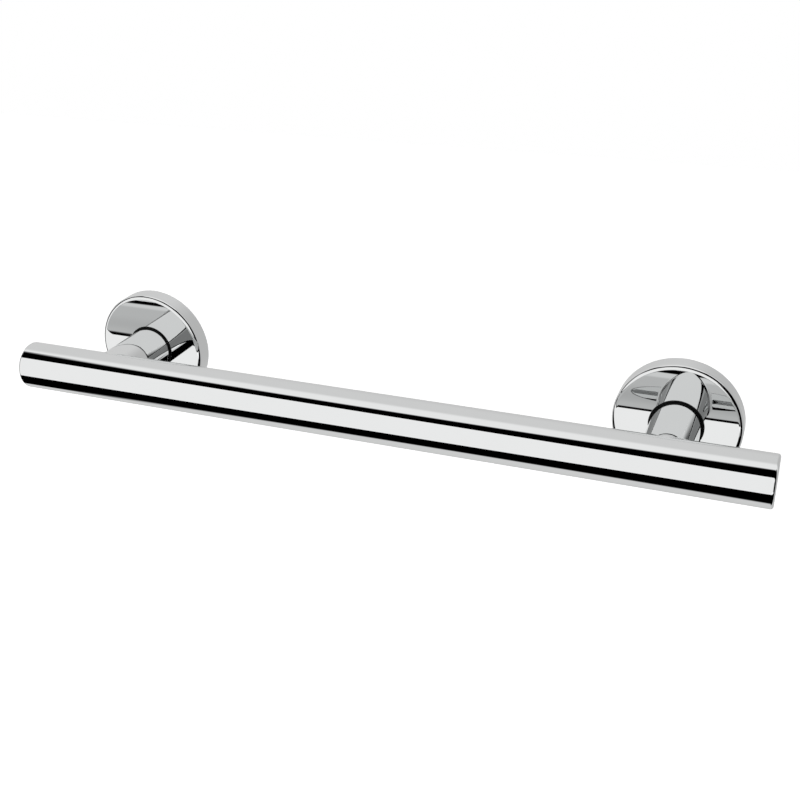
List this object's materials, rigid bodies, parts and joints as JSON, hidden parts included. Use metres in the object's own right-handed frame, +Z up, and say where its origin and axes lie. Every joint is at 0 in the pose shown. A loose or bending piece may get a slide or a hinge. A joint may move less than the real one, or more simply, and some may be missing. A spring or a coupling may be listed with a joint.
{
  "type": "grab bar",
  "caption": "Straight round chrome grab bar on a pair of posts, each rising from a flat round wall rosette that hides a screw-on wall plate.",
  "frame": {"origin": "on the wall's face, midway between the two posts, at the centre of the four wall screw holes", "axes": "+X along the bar, +Y into the wall, +Z up"},
  "size_m": [0.4, 0.0637, 0.064],
  "materials": {
    "chrome": "polished chrome plate on brass",
    "seal_rubber": "matt black moulded rubber",
    "plate_steel": "turned steel, left as machined",
    "fastener_steel": "plain stainless steel",
    "nut_brass": "milled brass"
  },
  "bodies": {
    "root": {"bar_tube": "chrome", "left_end_cap": "chrome", "right_end_cap": "chrome", "left_post": "chrome", "right_post": "chrome", "left_rosette": "chrome", "right_rosette": "chrome", "left_post_seal": "seal_rubber", "right_post_seal": "seal_rubber", "left_wall_plate": "plate_steel", "right_wall_plate": "plate_steel", "left_tie_bolt": "fastener_steel", "right_tie_bolt": "fastener_steel", "left_lock_washer": "fastener_steel", "right_lock_washer": "fastener_steel", "left_grub_screw": "fastener_steel", "right_grub_screw": "fastener_steel", "left_saddle_nut": "nut_brass", "right_saddle_nut": "nut_brass"}
  },
  "joints": []
}
